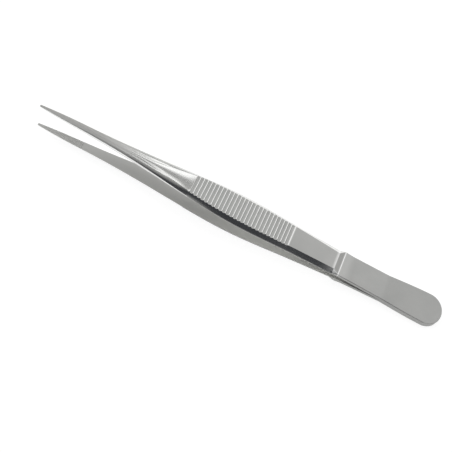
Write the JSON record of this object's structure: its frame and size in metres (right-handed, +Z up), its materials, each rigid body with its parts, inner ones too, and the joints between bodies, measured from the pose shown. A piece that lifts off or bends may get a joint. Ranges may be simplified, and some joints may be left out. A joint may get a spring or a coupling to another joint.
{
  "type": "thumb forceps",
  "caption": "Fine-pointed thumb forceps: sprung steel arms welded together at a rounded butt, with a cross-fluted finger grip, tapering polished necks and serrated jaws.",
  "frame": {"origin": "middle of the box that the forceps take up, on the surface that they lie on", "axes": "+X along the length from the tips to the butt, +Z up from the surface, +Y across the arms"},
  "size_m": [0.1502, 0.012, 0.0136],
  "materials": {
    "stainless_steel": "satin"
  },
  "bodies": {
    "root": {"upper_arm": "stainless_steel", "lower_arm": "stainless_steel"}
  },
  "joints": []
}
